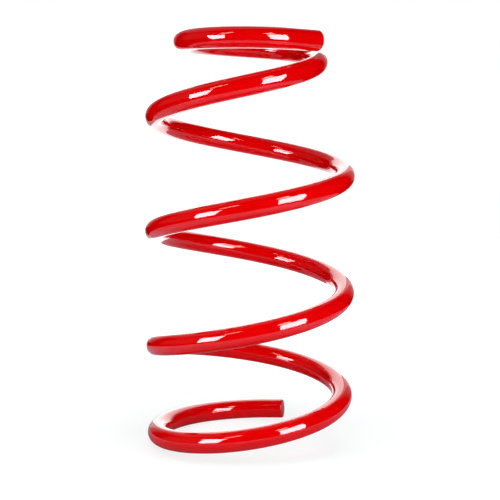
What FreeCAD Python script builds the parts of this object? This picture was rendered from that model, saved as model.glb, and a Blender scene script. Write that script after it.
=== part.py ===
import FreeCAD, Part
import Sketcher
import math
import os

# Coil spring of round steel wire for a vehicle's suspension, made in one piece.
# Millimetres, with +Z up along the coil axis. The origin is on that axis, level with the underside of
# the lowest coil. The wire is wound right-handed. The start of the lowest coil lies in the spring pan,
# and the top coil is closed, nearly flat and narrower, to centre on the upper mount.

DRIVING_DIMENSIONS = [
    ("wire_diameter", 14.0, "coated wire"),
    ("seat_coil_diameter", 129.0, "lowest coil, centre of wire to centre of wire"),
    ("body_coil_diameter", 131.0, "free coils, centre to centre"),
    ("top_coil_diameter", 91.0, "top coil, centre to centre"),
    ("seat_pitch", -18.0, "fall per turn at the lower end, level where the seat ends"),
    ("low_pitch", 67.0, "rise per turn of the first free coil"),
    ("body_pitch", 81.5, "rise per turn of the middle coils"),
    ("upper_pitch", 78.0, "rise per turn below the top coil"),
    ("top_pitch", -3.0, "slight fall per turn of the closed top coil"),
    ("first_bend_angle", 78.0, "degrees from +X to where the wire starts to bend"),
    ("seat_turns", 0.14, "part of the lowest coil that lies in the pan"),
    ("lift_turns", 0.455, "from level to the low pitch"),
    ("low_turns", 0.665, "at the low pitch"),
    ("blend_turns", 0.32, "from the low pitch to the body pitch"),
    ("body_turns", 0.8, "at the body pitch"),
    ("ease_turns", 0.29, "from the body pitch to the upper pitch"),
    ("upper_turns", 0.99, "at the upper pitch"),
    ("close_turns", 0.58, "from the upper pitch to the top pitch"),
    ("top_turns", 0.39, "at the top pitch"),
    ("seat_round_turns", 1.11, "from the lower bend, at the seat coil's diameter"),
    ("flare_turns", 0.25, "from the seat coil's diameter to the body's"),
    ("taper_turns", 0.64, "from the body's diameter to the top coil's"),
    ("top_round_turns", 0.77, "up to the upper bend, at the top coil's diameter"),
    ("lower_tail", 12.0, "straight wire before the first bend"),
    ("upper_tail", 23.5, "straight wire after the last bend"),
    ("end_rounding", 1.0, "edge of each cut end"),
]

# Points along each turn, steps drawn past each bend, and the share by which the volume may be off
STEPS_PER_TURN = 24
RUN_ON_STEPS = 4
VOLUME_TOLERANCE = 0.005


def make_sheet(doc):
    """Put the driving dimensions in a sheet, one row each, with the alias as the name."""
    sheet = doc.addObject("Spreadsheet::Sheet", "dimensions")
    for row, (alias, value, note) in enumerate(DRIVING_DIMENSIONS, start=1):
        sheet.set(f"A{row}", alias)
        sheet.set(f"B{row}", str(value))
        sheet.set(f"C{row}", note)
        sheet.setAlias(f"B{row}", alias)
    doc.recompute()
    return sheet


def smooth_step(share):
    """Run from 0 to 1 with level ends as the share runs from 0 to 1."""
    share = min(max(share, 0.0), 1.0)
    return share * share * (3.0 - 2.0 * share)


class CoilPath:
    """Centre line of the wire. A turn count of 0 is where the lower tail ends and the bend begins."""

    def __init__(self, sheet):
        self.sheet = sheet
        level = 0.0
        self.zones = [
            (sheet.seat_turns, sheet.seat_pitch, level),
            (sheet.lift_turns, level, sheet.low_pitch),
            (sheet.low_turns, sheet.low_pitch, sheet.low_pitch),
            (sheet.blend_turns, sheet.low_pitch, sheet.body_pitch),
            (sheet.body_turns, sheet.body_pitch, sheet.body_pitch),
            (sheet.ease_turns, sheet.body_pitch, sheet.upper_pitch),
            (sheet.upper_turns, sheet.upper_pitch, sheet.upper_pitch),
            (sheet.close_turns, sheet.upper_pitch, sheet.top_pitch),
            (sheet.top_turns, sheet.top_pitch, sheet.top_pitch),
        ]
        self.turns = sum(length for length, first_pitch, last_pitch in self.zones)

    def rise(self, turn):
        """Add up the rise of each zone. The pitch follows smooth_step, so its sum has a closed form."""
        before = min(turn, 0.0)
        past = max(turn - self.turns, 0.0)
        total = self.sheet.seat_pitch * before + self.sheet.top_pitch * past
        for length, first_pitch, last_pitch in self.zones:
            share = min(max(turn / length, 0.0), 1.0)
            gained = share ** 3 - share ** 4 / 2.0
            total += length * (first_pitch * share + (last_pitch - first_pitch) * gained)
            turn -= length
        return total

    def height(self, turn):
        """The wire is lowest where the seat ends, and its underside is level with the origin there."""
        lowest = self.rise(self.sheet.seat_turns)
        return self.sheet.wire_diameter / 2.0 + self.rise(turn) - lowest

    def radius(self, turn):
        """Widen from the seat coil to the body, then narrow from the body to the top coil."""
        sheet = self.sheet
        flare = smooth_step((turn - sheet.seat_round_turns) / sheet.flare_turns)
        taper_start = self.turns - sheet.top_round_turns - sheet.taper_turns
        taper = smooth_step((turn - taper_start) / sheet.taper_turns)
        widening = (sheet.body_coil_diameter - sheet.seat_coil_diameter) * flare
        narrowing = (sheet.body_coil_diameter - sheet.top_coil_diameter) * taper
        return (sheet.seat_coil_diameter + widening - narrowing) / 2.0

    def point(self, turn):
        around = math.radians(self.sheet.first_bend_angle) + 2.0 * math.pi * turn
        radius = self.radius(turn)
        return FreeCAD.Vector(radius * math.cos(around), radius * math.sin(around), self.height(turn))

    def coils(self):
        """Draw one smooth curve through the coils.

        It runs a few steps on past both bends and is cut back there, so that its ends head the right way.
        """
        steps = math.ceil(self.turns * STEPS_PER_TURN)
        stations = range(-RUN_ON_STEPS, steps + RUN_ON_STEPS + 1)
        curve = Part.BSplineCurve()
        curve.interpolate([self.point(self.turns * station / steps) for station in stations])
        curve.segment(curve.parameter(self.point(0.0)), curve.parameter(self.point(self.turns)))
        return curve

    def wire(self):
        """Join the lower tail, the coils and the upper tail. Each tail goes straight on from the coils."""
        curve = self.coils()
        first_heading, = curve.tangent(curve.FirstParameter)
        last_heading, = curve.tangent(curve.LastParameter)
        lower_end = curve.StartPoint - first_heading * self.sheet.lower_tail
        upper_end = curve.EndPoint + last_heading * self.sheet.upper_tail
        lower_tail = Part.LineSegment(lower_end, curve.StartPoint)
        upper_tail = Part.LineSegment(curve.EndPoint, upper_end)
        return Part.Wire([lower_tail.toShape(), curve.toShape(), upper_tail.toShape()])


def make_centre_line(doc, sheet):
    centre_line = doc.addObject("Part::Feature", "centre_line")
    centre_line.Shape = CoilPath(sheet).wire()
    return centre_line


def cut_end_edges(shape):
    """Name the edges round the two flat cut ends of the wire."""
    flat_faces = [face for face in shape.Faces if isinstance(face.Surface, Part.Plane)]
    names = []
    for number, edge in enumerate(shape.Edges, start=1):
        if any(edge.isSame(border) for face in flat_faces for border in face.Edges):
            names.append(f"Edge{number}")
    return names


def make_wire_section(body, path):
    """Draw the wire's round section square to the lower end of the path."""
    section = body.newObject("Sketcher::SketchObject", "wire_section")
    section.AttachmentSupport = [(path, "Edge1")]
    section.MapMode = "NormalToEdge"
    section.MapPathParameter = 0.0
    first_guess_radius = 5.0
    outline = Part.Circle(FreeCAD.Vector(0, 0, 0), FreeCAD.Vector(0, 0, 1), first_guess_radius)
    circle = section.addGeometry(outline, False)
    # Point 3 of a circle is its centre, and point 1 of geometry -1 is the sketch's own origin
    section.addConstraint(Sketcher.Constraint("Coincident", circle, 3, -1, 1))
    size = section.addConstraint(Sketcher.Constraint("Diameter", circle, 2.0 * first_guess_radius))
    section.setExpression(f"Constraints[{size}]", "dimensions.wire_diameter")
    return section


def make_spring(doc, centre_line):
    """Sweep the section along the centre line and round the edges of both cut ends."""
    body = doc.addObject("PartDesign::Body", "spring_body")
    body.Label = "coil_spring"
    body.Placement = FreeCAD.Placement()

    path = body.newObject("PartDesign::SubShapeBinder", "path")
    path.Support = [(centre_line, ("",))]
    doc.recompute()

    section = make_wire_section(body, path)
    doc.recompute()

    pipe = body.newObject("PartDesign::AdditivePipe", "bent_wire")
    pipe.Profile = section
    pipe.Spine = (path, [f"Edge{number}" for number in range(1, len(path.Shape.Edges) + 1)])
    pipe.Mode = "Frenet"
    doc.recompute()

    rounding = body.newObject("PartDesign::Fillet", "end_rounding")
    rounding.Base = (pipe, cut_end_edges(pipe.Shape))
    rounding.setExpression("Radius", "dimensions.end_rounding")
    body.Tip = rounding
    doc.recompute()
    return body


def check(doc, body, centre_line):
    """Stop if anything failed, or if the solid doesn't hold the wire's section over its whole length."""
    failed = [item.Name for item in doc.Objects if "Invalid" in item.State or "Error" in item.State]
    if failed:
        raise RuntimeError(f"failed objects: {failed}")
    shape = body.Shape
    if shape.isNull() or not shape.isValid() or len(shape.Solids) != 1:
        raise RuntimeError(f"{body.Label} is not one valid solid")
    length = centre_line.Shape.Length
    section_area = math.pi * doc.getObject("dimensions").wire_diameter ** 2 / 4.0
    share = shape.Volume / (section_area * length)
    print(f"wire {length:.1f} mm long, volume {shape.Volume:.0f} mm3, {share:.5f} of expected")
    if abs(share - 1.0) > VOLUME_TOLERANCE:
        raise RuntimeError("the swept volume is wrong")


def main():
    doc = FreeCAD.newDocument("suspension_spring")
    sheet = make_sheet(doc)
    centre_line = make_centre_line(doc, sheet)
    spring = make_spring(doc, centre_line)
    check(doc, spring, centre_line)
    os.makedirs("parts", exist_ok=True)
    spring.Shape.exportStep(f"parts/{spring.Label}.step")


main()
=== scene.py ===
import math

import bpy
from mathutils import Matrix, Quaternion, Vector


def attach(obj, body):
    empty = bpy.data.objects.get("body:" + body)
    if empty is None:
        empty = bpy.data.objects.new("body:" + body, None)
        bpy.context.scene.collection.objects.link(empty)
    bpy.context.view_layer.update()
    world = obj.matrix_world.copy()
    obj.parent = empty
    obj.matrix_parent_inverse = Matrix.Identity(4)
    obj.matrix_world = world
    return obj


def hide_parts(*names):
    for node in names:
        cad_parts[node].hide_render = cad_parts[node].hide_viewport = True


# A suspension coil spring of round wire with a glossy red coat, standing upright on a pale floor.
# Metres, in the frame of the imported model: +Z up along the coil axis, and the camera looks along +Y.

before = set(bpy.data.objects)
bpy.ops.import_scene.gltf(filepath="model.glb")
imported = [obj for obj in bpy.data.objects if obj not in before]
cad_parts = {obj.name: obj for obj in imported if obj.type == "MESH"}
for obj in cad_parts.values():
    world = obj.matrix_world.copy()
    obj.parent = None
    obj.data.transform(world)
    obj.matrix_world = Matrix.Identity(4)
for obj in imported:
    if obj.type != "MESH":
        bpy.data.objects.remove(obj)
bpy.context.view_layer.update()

# Sizes of the wound wire. Pitches are the rise for each turn, and the turns count from the lower bend.
WIRE_SIZES = {
    "Wire Diameter": 0.014,
    "Seat Coil Diameter": 0.129,
    "Body Coil Diameter": 0.131,
    "Top Coil Diameter": 0.091,
    "Seat Pitch": -0.018,
    "Low Pitch": 0.067,
    "Body Pitch": 0.0815,
    "Upper Pitch": 0.078,
    "Top Pitch": -0.003,
    "First Bend Angle": math.radians(78.0),
    "Seat Turns": 0.14,
    "Lift Turns": 0.455,
    "Low Turns": 0.665,
    "Blend Turns": 0.32,
    "Body Turns": 0.8,
    "Ease Turns": 0.29,
    "Upper Turns": 0.99,
    "Close Turns": 0.58,
    "Top Turns": 0.39,
    "Seat Round Turns": 1.11,
    "Flare Turns": 0.25,
    "Taper Turns": 0.64,
    "Top Round Turns": 0.77,
    "Lower Tail": 0.012,
    "Upper Tail": 0.0235,
    "End Rounding": 0.001,
}

# How finely the wire is drawn: stations along it, stations in each rounded end, and sides round it
STATIONS = 900
END_STATIONS = 7
WIRE_SIDES = 56

# The lamps stand round this point on the coil axis, near half the spring's height.
SPRING_MIDDLE = Vector((0.0, 0.0, 0.14))

# Tints of the lamps
PLAIN_WHITE = (1.0, 1.0, 1.0)
LAVENDER_WHITE = (1.0, 0.93, 1.0)
CREAM = (1.0, 0.9, 0.72)


class Signal:
    """An output socket of a node tree. Arithmetic on it adds Math nodes, so a formula reads as one."""

    def __init__(self, maker, socket):
        self.maker = maker
        self.socket = socket

    def math(self, operation, *values):
        return self.maker.node("ShaderNodeMath", {"operation": operation}, dict(enumerate(values)))

    def __add__(self, other):
        return self.math("ADD", self, other)

    def __radd__(self, other):
        return self.math("ADD", other, self)

    def __sub__(self, other):
        return self.math("SUBTRACT", self, other)

    def __rsub__(self, other):
        return self.math("SUBTRACT", other, self)

    def __mul__(self, other):
        return self.math("MULTIPLY", self, other)

    def __rmul__(self, other):
        return self.math("MULTIPLY", other, self)

    def __truediv__(self, other):
        return self.math("DIVIDE", self, other)

    def __neg__(self):
        return self.math("MULTIPLY", self, -1.0)

    def at_least(self, other):
        return self.math("MAXIMUM", self, other)

    def at_most(self, other):
        return self.math("MINIMUM", self, other)

    def sine(self):
        return self.math("SINE", self)

    def cosine(self):
        return self.math("COSINE", self)


class NodeMaker:
    """Adds nodes to one tree."""

    def __init__(self, tree):
        self.tree = tree

    def node(self, kind, settings=None, inputs=None, output=0):
        """Add a node, set its settings first and then its sockets, and return one of its outputs, if any."""
        node = self.tree.nodes.new(kind)
        for name, value in (settings or {}).items():
            if name == "stops":
                set_stops(node.color_ramp, value)
            else:
                setattr(node, name, value)
        for key, value in (inputs or {}).items():
            if isinstance(value, Signal):
                self.tree.links.new(value.socket, node.inputs[key])
            else:
                node.inputs[key].default_value = value
        return Signal(self, node.outputs[output]) if node.outputs else None


def set_stops(ramp, stops):
    """Give a ramp one stop for each (position, colour)."""
    while len(ramp.elements) < len(stops):
        ramp.elements.new(1.0)
    for element, (position, colour) in zip(ramp.elements, stops):
        element.position = position
        element.color = colour


def mix_colours(maker, share, first, second):
    """Blend two colours. A Mix node has them at its sockets 6 and 7, and the blend at its output 2."""
    return maker.node("ShaderNodeMix", {"data_type": "RGBA"}, {"Factor": share, 6: first, 7: second}, 2)


def clamped(value):
    return value.at_least(0.0).at_most(1.0)


def fade_in(value, start, length):
    """Run smoothly from 0 to 1, with level ends, as the value goes from the start over the length."""
    share = clamped((value - start) / length)
    return share * share * (3.0 - 2.0 * share)


class CentreLine:
    """The middle of the wire, as formulas on the tree's inputs. Turn 0 is where the lower tail ends."""

    def __init__(self, maker, size):
        self.maker = maker
        self.size = size
        self.zones = [
            ("Seat Turns", size["Seat Pitch"], 0.0),
            ("Lift Turns", 0.0, size["Low Pitch"]),
            ("Low Turns", size["Low Pitch"], size["Low Pitch"]),
            ("Blend Turns", size["Low Pitch"], size["Body Pitch"]),
            ("Body Turns", size["Body Pitch"], size["Body Pitch"]),
            ("Ease Turns", size["Body Pitch"], size["Upper Pitch"]),
            ("Upper Turns", size["Upper Pitch"], size["Upper Pitch"]),
            ("Close Turns", size["Upper Pitch"], size["Top Pitch"]),
            ("Top Turns", size["Top Pitch"], size["Top Pitch"]),
        ]
        self.turns = sum((size[name] for name, first, last in self.zones[1:]), size["Seat Turns"])

    def rise(self, turn):
        """Add up the rise of each zone. The pitch follows fade_in there, so its sum has a closed form."""
        before = turn.at_most(0.0)
        past = (turn - self.turns).at_least(0.0)
        total = self.size["Seat Pitch"] * before + self.size["Top Pitch"] * past
        left = turn
        for name, first_pitch, last_pitch in self.zones:
            length = self.size[name]
            share = clamped(left / length)
            gained = share * share * share * (1.0 - share / 2.0)
            total = total + length * (share * first_pitch + (last_pitch - first_pitch) * gained)
            left = left - length
        return total

    def height(self, turn):
        """The wire is lowest where the seat ends, and its underside is level with the origin there."""
        return self.size["Wire Diameter"] / 2.0 + self.rise(turn) - self.rise(self.size["Seat Turns"])

    def radius(self, turn):
        """Widen from the seat coil to the body, then narrow from the body to the top coil."""
        size = self.size
        flare = fade_in(turn, size["Seat Round Turns"], size["Flare Turns"])
        taper_start = self.turns - size["Top Round Turns"] - size["Taper Turns"]
        taper = fade_in(turn, taper_start, size["Taper Turns"])
        widening = (size["Body Coil Diameter"] - size["Seat Coil Diameter"]) * flare
        narrowing = (size["Body Coil Diameter"] - size["Top Coil Diameter"]) * taper
        return (size["Seat Coil Diameter"] + widening - narrowing) / 2.0

    def point(self, turn):
        """Where the wire's middle is. Each tail goes straight on from the coils."""
        coil_turn = turn.at_least(0.0).at_most(self.turns)
        straight = (turn - coil_turn) * (2.0 * math.pi)
        around = self.size["First Bend Angle"] + coil_turn * (2.0 * math.pi)
        radius = self.radius(turn)
        x = radius * (around.cosine() - straight * around.sine())
        y = radius * (around.sine() + straight * around.cosine())
        return self.maker.node("ShaderNodeCombineXYZ", {}, {"X": x, "Y": y, "Z": self.height(turn)})


def wire_stations(maker, size, turns):
    """Share out the stations along the wire, close together in the rounding of each cut end.

    This returns the turn that a station stands at, and the share of the wire's radius that it has.
    """
    index = maker.node("GeometryNodeInputIndex")
    last_station = STATIONS - 1.0
    between = clamped((index - END_STATIONS) / (last_station - 2.0 * END_STATIONS))

    # The rounding is a quarter circle. Its angle is 0 at the cut face and stays at 90 degrees past it.
    right_angle = math.pi / 2.0
    lower_angle = clamped(index / END_STATIONS) * right_angle
    upper_angle = clamped((last_station - index) / END_STATIONS) * right_angle
    lower_inset = size["End Rounding"] * (1.0 - lower_angle.cosine())
    upper_inset = size["End Rounding"] * upper_angle.cosine()

    lower_circumference = size["Seat Coil Diameter"] * math.pi
    upper_circumference = size["Top Coil Diameter"] * math.pi
    first_turn = -(size["Lower Tail"] / lower_circumference)
    last_turn = turns + size["Upper Tail"] / upper_circumference
    lower_rounded_turns = size["End Rounding"] / lower_circumference
    upper_rounded_turns = size["End Rounding"] / upper_circumference
    plain_turns = last_turn - first_turn - lower_rounded_turns - upper_rounded_turns
    turn = first_turn + lower_inset / lower_circumference + plain_turns * between
    turn = turn + upper_inset / upper_circumference

    lower_gap = size["End Rounding"] * (1.0 - lower_angle.sine())
    upper_gap = size["End Rounding"] * (1.0 - upper_angle.sine())
    section_scale = 1.0 - (lower_gap + upper_gap) / (size["Wire Diameter"] / 2.0)
    return turn, section_scale


def spring_tree():
    """Build the tree that winds the wire: centre line, round section and rounded, closed cut ends."""
    tree = bpy.data.node_groups.new("wound_wire", "GeometryNodeTree")
    for name in WIRE_SIZES:
        tree.interface.new_socket(name, in_out="INPUT", socket_type="NodeSocketFloat")
    tree.interface.new_socket("Material", in_out="INPUT", socket_type="NodeSocketMaterial")
    tree.interface.new_socket("Geometry", in_out="OUTPUT", socket_type="NodeSocketGeometry")
    maker = NodeMaker(tree)
    size = {name: maker.node("NodeGroupInput", output=name) for name in WIRE_SIZES}
    coat = maker.node("NodeGroupInput", output="Material")

    path = CentreLine(maker, size)
    turn, section_scale = wire_stations(maker, size, path.turns)
    line = maker.node("GeometryNodeCurvePrimitiveLine", {"mode": "POINTS"}, {"End": (0.0, 0.0, 1.0)})
    stations = maker.node(
        "GeometryNodeResampleCurve", {"mode": "COUNT"}, {"Curve": line, "Count": STATIONS}
    )
    centre_line = maker.node(
        "GeometryNodeSetPosition", {}, {"Geometry": stations, "Position": path.point(turn)}
    )
    section = maker.node(
        "GeometryNodeCurvePrimitiveCircle",
        {"mode": "RADIUS"},
        {"Resolution": WIRE_SIDES, "Radius": size["Wire Diameter"] / 2.0},
    )
    wire = maker.node(
        "GeometryNodeCurveToMesh",
        {},
        {"Curve": centre_line, "Profile Curve": section, "Scale": section_scale, "Fill Caps": True},
    )

    # The four-sided faces round the wire are shaded smooth, and the many-sided caps stay flat.
    corners = maker.node("GeometryNodeInputMeshFaceNeighbors", output="Vertex Count")
    fewest_cap_corners = 5.0
    shaded = maker.node(
        "GeometryNodeSetShadeSmooth", {}, {"Geometry": wire, "Shade Smooth": fewest_cap_corners - corners}
    )
    realized = maker.node("GeometryNodeRealizeInstances", {}, {"Geometry": shaded})
    coated = maker.node("GeometryNodeSetMaterial", {}, {"Geometry": realized, "Material": coat})
    maker.node("NodeGroupOutput", {}, {"Geometry": coated})
    return tree


def wind_spring(coat):
    """Wind the wire with the tree, and keep the result as a plain mesh that stands for the CAD solid."""
    tree = spring_tree()
    spring = bpy.data.objects.new("wound_spring", bpy.data.meshes.new("wound_spring"))
    bpy.context.scene.collection.objects.link(spring)
    winding = spring.modifiers.new("winding", "NODES")
    winding.node_group = tree
    for item in tree.interface.items_tree:
        if item.in_out == "INPUT":
            winding[item.identifier] = coat if item.name == "Material" else WIRE_SIZES[item.name]
    evaluated = spring.evaluated_get(bpy.context.evaluated_depsgraph_get())
    mesh = bpy.data.meshes.new_from_object(evaluated)
    spring.modifiers.remove(winding)
    spring.data = mesh
    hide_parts("coil_spring")
    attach(spring, "root")


def empty_material(name):
    """Start a material with no nodes, and return it with the maker of its nodes."""
    material = bpy.data.materials.new(name)
    material.use_nodes = True
    material.node_tree.nodes.clear()
    return material, NodeMaker(material.node_tree)


def red_coat():
    """Thick red gloss coat: faint orange peel, a little unevenness in colour and gloss."""
    material, maker = empty_material("red_coat")
    place = maker.node("ShaderNodeTexCoord", output="Object")

    def noise(scale, detail):
        sockets = {"Vector": place, "Scale": scale, "Detail": detail}
        return maker.node("ShaderNodeTexNoise", {"noise_dimensions": "3D"}, sockets, "Fac")

    # The unevenness is in clouds of some 17 mm, and the orange peel has grains of some 3 mm.
    cloud = noise(60.0, 3.0)
    peel = noise(350.0, 0.0)
    deeper_red = (0.77, 0.0004, 0.001, 1.0)
    lighter_red = (0.81, 0.001, 0.002, 1.0)
    colour = maker.node(
        "ShaderNodeValToRGB", {"stops": [(0.3, deeper_red), (0.7, lighter_red)]}, {"Fac": cloud}, "Color"
    )
    bumps = maker.node("ShaderNodeBump", {}, {"Strength": 0.05, "Distance": 0.00018, "Height": peel})
    roughness = 0.015 + 0.02 * cloud
    surface = maker.node(
        "ShaderNodeBsdfPrincipled",
        {},
        {"Base Color": colour, "Roughness": roughness, "IOR": 1.5, "Normal": bumps},
    )
    maker.node("ShaderNodeOutputMaterial", {}, {"Surface": surface})
    return material


def mirrored_rays(maker):
    """1 for rays that a gloss has mirrored or glass has let through, and 0 for all others."""
    is_glossy = maker.node("ShaderNodeLightPath", output="Is Glossy Ray")
    is_transmission = maker.node("ShaderNodeLightPath", output="Is Transmission Ray")
    return (is_glossy + is_transmission).at_most(1.0)


def floor_coat():
    """Matt white. What the camera sees of it is grey, lifted to white, and keeps the spring's shadow.

    Gloss shows a table that ends about 0.4 m out, with painted shade under the spring and a faint light of
    its own.
    """
    material, maker = empty_material("pale_floor")
    place = maker.node("ShaderNodeTexCoord", output="Object")
    distance = maker.node("ShaderNodeVectorMath", {"operation": "LENGTH"}, {0: place}, "Value")
    is_camera = maker.node("ShaderNodeLightPath", output="Is Camera Ray")
    mirrored = mirrored_rays(maker)

    table_radius = 0.38
    table_edge = 0.06
    # Painted shade: in the gloss the table is darkened under the spring, standing in for the coils' shadow
    # there.
    painted_shade_radius = 0.03
    painted_shade_edge = 0.19
    painted_shade_depth = 0.7
    beyond_table = fade_in(distance, table_radius, table_edge)
    painted_shade_under_spring = painted_shade_depth * (1.0 - fade_in(distance, painted_shade_radius, painted_shade_edge))
    beyond_edge_and_painted_shade = mirrored * (beyond_table + painted_shade_under_spring)

    cool_white = (0.7, 0.7, 0.88, 1.0)
    camera_grey = (0.27, 0.33, 0.33, 1.0)
    black = (0.0, 0.0, 0.0, 1.0)
    colour = mix_colours(maker, is_camera, cool_white, camera_grey)
    colour = mix_colours(maker, beyond_edge_and_painted_shade, colour, black)
    matt = maker.node("ShaderNodeBsdfDiffuse", {}, {"Color": colour})

    # The lift is a little less near the spring, so that its shadow shows there.
    near_lift = 0.78
    near_radius = 0.07
    near_edge = 0.2
    table_light = 0.1
    lift = near_lift + (1.0 - near_lift) * fade_in(distance, near_radius, near_edge)
    brightness = is_camera * lift + table_light * (mirrored - beyond_edge_and_painted_shade)
    glow = maker.node("ShaderNodeEmission", {}, {"Color": brightness, "Strength": 1.0})
    both = maker.node("ShaderNodeAddShader", {}, {0: matt, 1: glow})
    maker.node("ShaderNodeOutputMaterial", {}, {"Surface": both})
    return material


def pale_floor():
    """White floor, far wider than the view, level with the underside of the lowest coil."""
    half_width = 4.0
    corners = [
        (-half_width, -half_width, 0.0),
        (half_width, -half_width, 0.0),
        (half_width, half_width, 0.0),
        (-half_width, half_width, 0.0),
    ]
    mesh = bpy.data.meshes.new("floor")
    mesh.from_pydata(corners, [], [(0, 1, 2, 3)])
    mesh.materials.append(floor_coat())
    floor = bpy.data.objects.new("floor", mesh)
    bpy.context.scene.collection.objects.link(floor)


def towards(azimuth, elevation):
    """Unit vector, from degrees. Azimuth 0 is on the camera's side, and azimuth 90 is on the right."""
    across = math.radians(azimuth)
    up = math.radians(elevation)
    return Vector((math.sin(across) * math.cos(up), -math.cos(across) * math.cos(up), math.sin(up)))


def studio_world():
    """White for the camera. Gloss shows a dim room: a glow high up, one behind and a wall at the left."""
    world = bpy.data.worlds.new("studio")
    bpy.context.scene.world = world
    world.use_nodes = True
    world.node_tree.nodes.clear()
    maker = NodeMaker(world.node_tree)
    direction = maker.node("ShaderNodeTexCoord", output="Generated")

    def glow(strength, azimuth, elevation, rim, softness):
        """A round patch. Its rim and its softness are measured in the cosine of the angle to its middle."""
        sockets = {0: direction, 1: tuple(towards(azimuth, elevation))}
        cosine = maker.node("ShaderNodeVectorMath", {"operation": "DOT_PRODUCT"}, sockets, "Value")
        return strength * fade_in(cosine, rim, softness)

    high_glow = glow(strength=0.3, azimuth=205.0, elevation=60.0, rim=0.8, softness=0.12)
    left_wall = glow(strength=0.12, azimuth=280.0, elevation=10.0, rim=0.75, softness=0.15)
    back_glow = glow(strength=0.35, azimuth=180.0, elevation=12.0, rim=0.72, softness=0.2)
    room = high_glow + left_wall + back_glow
    is_camera = maker.node("ShaderNodeLightPath", output="Is Camera Ray")
    is_diffuse = maker.node("ShaderNodeLightPath", output="Is Diffuse Ray")
    soft_fill = 0.02
    brightness = is_camera + soft_fill * is_diffuse + room * mirrored_rays(maker)
    background = maker.node(
        "ShaderNodeBackground", {}, {"Color": (1.0, 1.0, 1.0, 1.0), "Strength": brightness}
    )
    maker.node("ShaderNodeOutputWorld", {}, {"Surface": background})


def panel(
    name, place, size, radiance, shines_from=None, spin=0.0, tint=PLAIN_WHITE, glossy=True, diffuse=True
):
    """Hang a flat lamp at a place: its azimuth, elevation and distance from the spring's middle.

    Its light heads for that middle, or comes from the (azimuth, elevation) in shines_from if that is given.
    """
    azimuth, elevation, distance = place
    width, height = size
    lamp = bpy.data.lights.new(name, "AREA")
    lamp.shape = "RECTANGLE"
    lamp.size = width
    lamp.size_y = height
    lamp.energy = radiance * math.pi * width * height
    lamp.color = tint
    holder = bpy.data.objects.new(name, lamp)
    bpy.context.scene.collection.objects.link(holder)
    holder.location = SPRING_MIDDLE + towards(azimuth, elevation) * distance
    back = towards(*(shines_from or (azimuth, elevation)))
    aim = (-back).to_track_quat("-Z", "Y")
    holder.rotation_euler = (aim @ Quaternion((0.0, 0.0, 1.0), math.radians(spin))).to_euler()
    holder.visible_camera = False
    holder.visible_glossy = glossy
    holder.visible_diffuse = diffuse


def hang_front_panels():
    """Hang two soft boxes and two strips in front. The gloss mirrors them, and they give no other light."""
    panel(
        "right_softbox",
        place=(40.6, 13.4, 0.715),
        size=(0.385, 0.546),
        radiance=22.0,
        shines_from=(62.8, 10.9),
        tint=LAVENDER_WHITE,
        diffuse=False,
    )
    panel(
        "left_softbox",
        place=(-47.2, 11.0, 0.684),
        size=(0.29, 0.43),
        radiance=22.0,
        shines_from=(-60.0, 28.4),
        spin=11.6,
        tint=LAVENDER_WHITE,
        diffuse=False,
    )
    panel(
        "right_strip",
        place=(30.9, 42.9, 0.715),
        size=(0.147, 0.11),
        radiance=14.0,
        spin=21.6,
        tint=CREAM,
        diffuse=False,
    )
    panel(
        "left_strip",
        place=(-36.8, 46.0, 0.684),
        size=(0.192, 0.08),
        radiance=8.0,
        spin=35.9,
        tint=CREAM,
        diffuse=False,
    )


def hang_lights():
    """Hang the soft lamps that light the spring and don't show in its gloss."""
    panel("right_light", place=(46.0, 6.5, 0.5), size=(0.34, 0.45), radiance=3.6, glossy=False)
    panel("left_light", place=(-49.0, 6.0, 0.48), size=(0.27, 0.45), radiance=3.3, glossy=False)
    panel("top_light", place=(0.0, 66.0, 1.2), size=(1.0, 1.0), radiance=1.9, glossy=False)
    panel("back_light", place=(180.0, 40.0, 1.2), size=(0.8, 0.8), radiance=2.0, glossy=False)


def hang_back_panels():
    """Hang a bright panel and a wider, dimmer one close behind the spring, for its gloss alone."""
    level = (180.0, 0.0)
    bright_place = (180.0, 11.0, 0.31)
    dim_place = (180.0, 11.0, 0.32)
    panel("back_panel", bright_place, size=(0.28, 0.42), radiance=1.9, shines_from=level, diffuse=False)
    panel("back_veil", dim_place, size=(0.42, 0.44), radiance=0.55, shines_from=level, diffuse=False)


def aim_camera():
    """Stand the camera where the photograph was taken from, tipped a little down."""
    # The photograph's width and the focal length that fits it, both in its pixels, and the tilt in radians
    photo_width = 500.0
    focal_length = 1157.86
    downward_tilt = 0.0979
    data = bpy.data.cameras.new("camera")
    data.sensor_width = 36.0
    data.lens = focal_length / photo_width * data.sensor_width
    camera = bpy.data.objects.new("camera", data)
    bpy.context.scene.collection.objects.link(camera)
    camera.location = (0.0002, -0.79956, 0.21358)
    camera.rotation_euler = (math.pi / 2.0 - downward_tilt, 0.0, 0.0)
    bpy.context.scene.camera = camera


wind_spring(red_coat())
pale_floor()
studio_world()
hang_front_panels()
hang_lights()
hang_back_panels()
aim_camera()
bpy.context.scene.view_settings.view_transform = "Standard"
